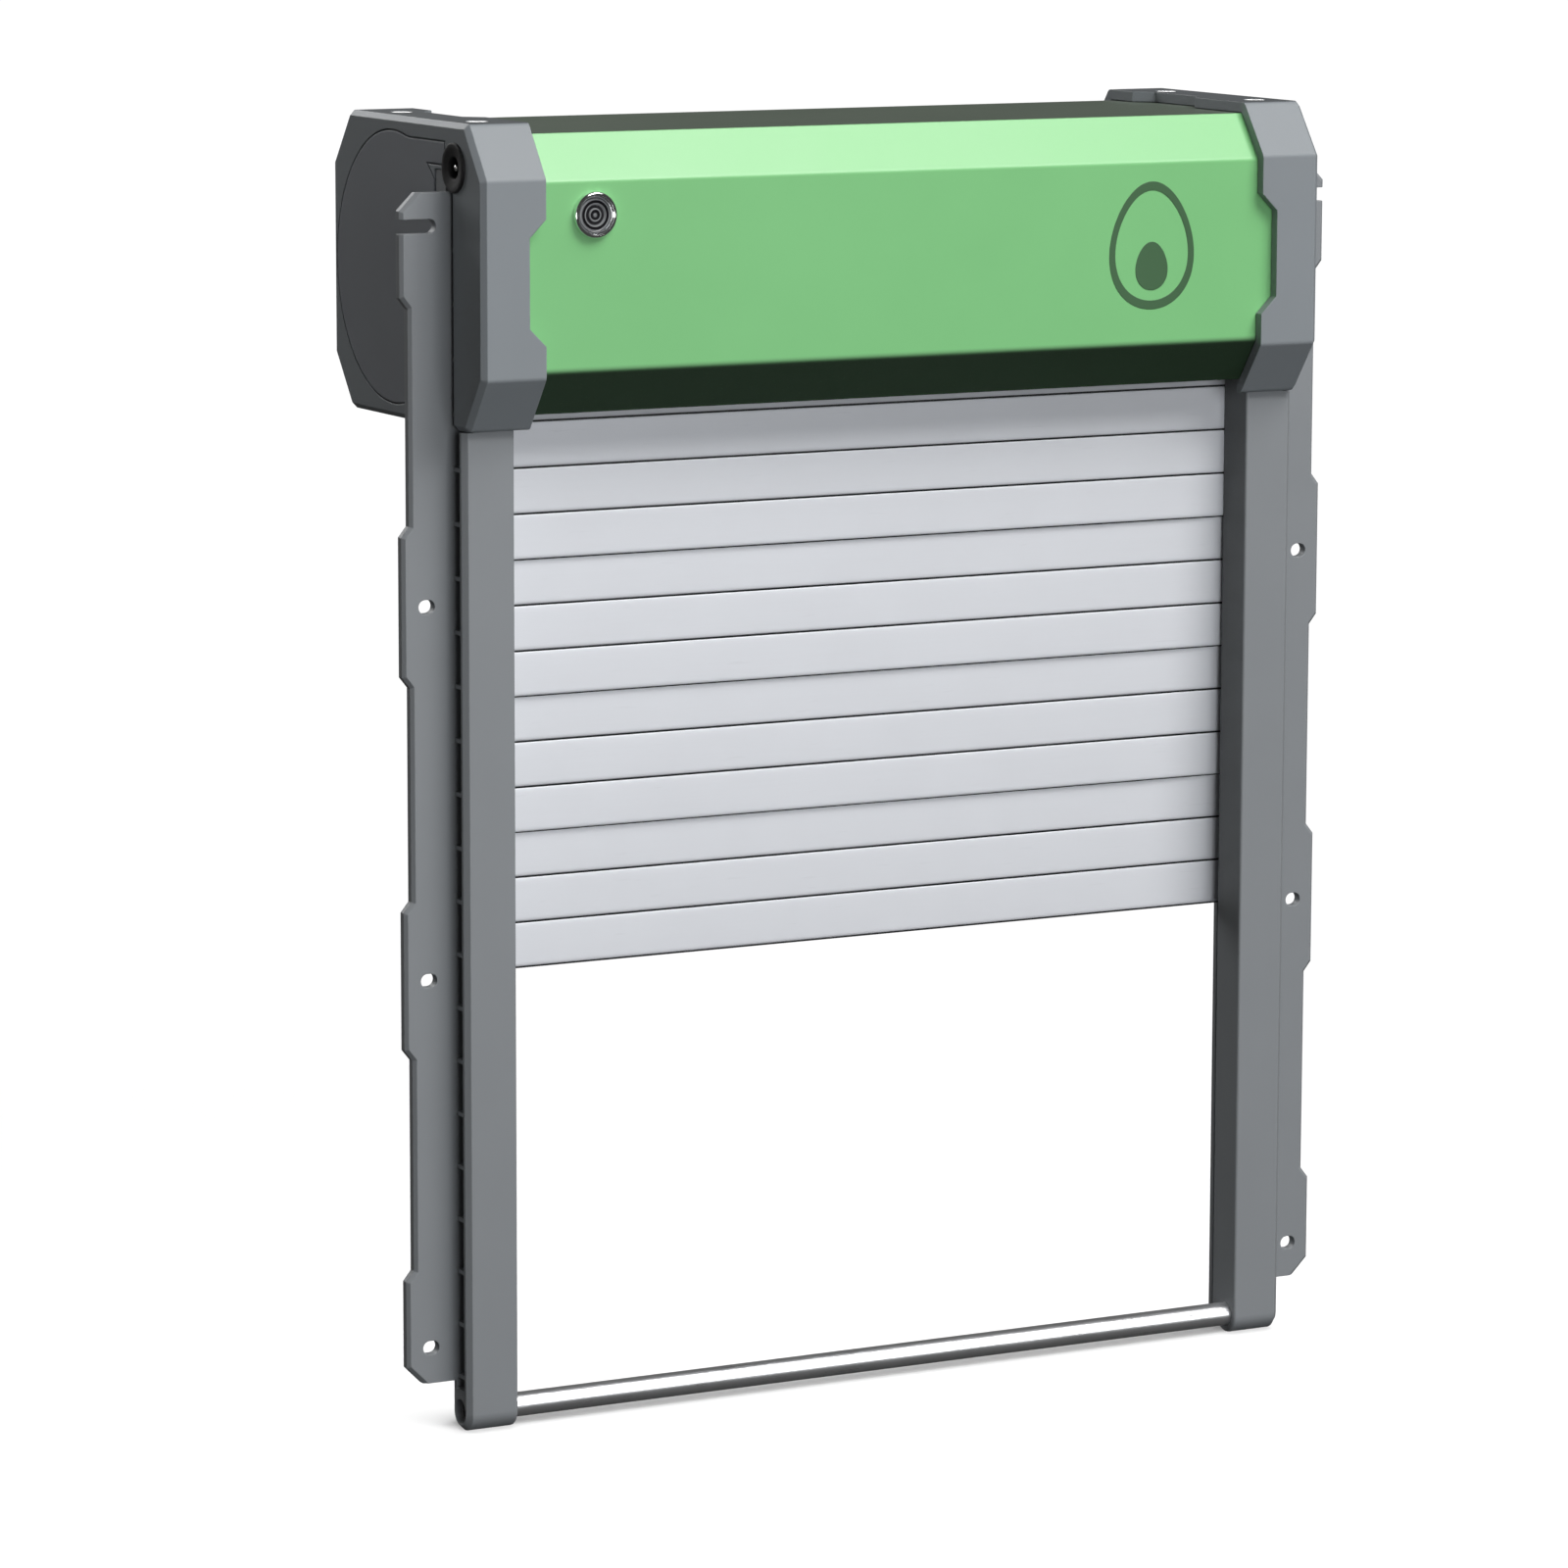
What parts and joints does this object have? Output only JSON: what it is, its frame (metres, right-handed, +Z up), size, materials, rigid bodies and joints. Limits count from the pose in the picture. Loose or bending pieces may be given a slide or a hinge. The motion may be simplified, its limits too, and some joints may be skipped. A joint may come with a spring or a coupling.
{
  "type": "automatic coop door",
  "caption": "Motorised slatted roller door in a flanged rail frame, with a chamfered head that holds the roller drive, a light sensor and a power socket.",
  "frame": {"origin": "bottom centre of the door's bounding box, level with the feet of the rails; the wall plane is at y = -26 mm", "axes": "+X across the doorway, +Y from the front of the door into the coop, +Z up"},
  "size_m": [0.3, 0.1, 0.37],
  "materials": {
    "cap_plastic": "fine moulded texture",
    "rail_plastic": "fine moulded texture",
    "green_cover": "satin paint",
    "dark_cover": "satin paint",
    "polished_steel": "polished",
    "slat_aluminium": "satin",
    "seal_rubber": "matte",
    "roller_aluminium": "mill finish",
    "motor_steel": "turned",
    "black_plastic": "moulded",
    "bearing_nylon": "moulded nylon",
    "bezel_chrome": "polished",
    "lens_dark": "clear lens over a dark cell",
    "screw_steel": "zinc plated",
    "board_green": "solder mask",
    "terminal_plastic": "moulded",
    "pin_brass": "turned"
  },
  "bodies": {
    "frame": {"end_cap_left": "cap_plastic", "end_cap_right": "cap_plastic", "side_plate_left": "cap_plastic", "side_plate_right": "cap_plastic", "front_cover": "green_cover", "rear_cover": "dark_cover", "rail_left": "rail_plastic", "rail_right": "rail_plastic", "threshold_tube": "polished_steel", "motor_mount": "black_plastic", "motor_can": "motor_steel", "gearbox": "motor_steel", "idler_bush": "bearing_nylon", "idler_holder": "black_plastic", "sensor_bezel": "bezel_chrome", "sensor_lens": "lens_dark", "light_cell": "black_plastic", "sensor_nut": "screw_steel", "circuit_board": "board_green", "board_screws": "screw_steel", "motor_relays": "black_plastic", "controller_chip": "black_plastic", "capacitor": "black_plastic", "terminal_block": "terminal_plastic", "power_socket": "black_plastic", "socket_pin": "pin_brass", "socket_nut": "screw_steel", "cap_screws": "screw_steel"},
    "roller": {"roller_tube": "roller_aluminium", "output_shaft": "motor_steel", "drive_hub": "black_plastic", "drive_bearing": "bearing_nylon", "idler_hub": "black_plastic"},
    "curtain_section_1": {"slat_01": "slat_aluminium", "slat_02": "slat_aluminium", "slat_03": "slat_aluminium", "slat_04": "slat_aluminium", "slat_05": "slat_aluminium", "slat_06": "slat_aluminium"},
    "curtain_section_2": {"slat_07": "slat_aluminium", "slat_08": "slat_aluminium", "slat_09": "slat_aluminium", "slat_10": "slat_aluminium", "slat_11": "slat_aluminium", "slat_12": "slat_aluminium"},
    "curtain_section_3": {"slat_13": "slat_aluminium", "slat_14": "slat_aluminium", "slat_15": "slat_aluminium", "slat_16": "slat_aluminium", "slat_17": "slat_aluminium", "slat_18": "slat_aluminium"},
    "curtain_section_4": {"slat_19": "slat_aluminium", "slat_20": "slat_aluminium", "slat_21": "slat_aluminium", "slat_22": "slat_aluminium", "slat_23": "slat_aluminium", "slat_24": "slat_aluminium", "bottom_seal": "seal_rubber"}
  },
  "joints": [
    {"name": "curtain_lift", "type": "slide", "parent": "frame", "child": "curtain_section_4", "axis": [0, 0, 1], "range_m": [-0.1195, 0.156]},
    {"name": "section_3_lift", "type": "slide", "parent": "frame", "child": "curtain_section_3", "axis": [0, 0, 1], "range_m": [-0.09012, 0.1175]},
    {"name": "section_2_lift", "type": "slide", "parent": "frame", "child": "curtain_section_2", "axis": [0, 0, 1], "range_m": [-0.06025, 0.0785]},
    {"name": "section_1_lift", "type": "slide", "parent": "frame", "child": "curtain_section_1", "axis": [0, 0, 1], "range_m": [-0.03037, 0.0395]},
    {"name": "roller_spin", "type": "hinge", "parent": "frame", "child": "roller", "pos_m": [0, 0.009, 0.3275], "axis": [1, 0, 0], "range_deg": [-560.6, 429.9]}
  ],
  "couplings": [
    {"joint": "section_3_lift", "follows": "curtain_lift", "ratio": 0.75},
    {"joint": "section_2_lift", "follows": "curtain_lift", "ratio": 0.5},
    {"joint": "section_1_lift", "follows": "curtain_lift", "ratio": 0.25},
    {"joint": "roller_spin", "follows": "curtain_lift", "rad_per_m": -62.5}
  ]
}
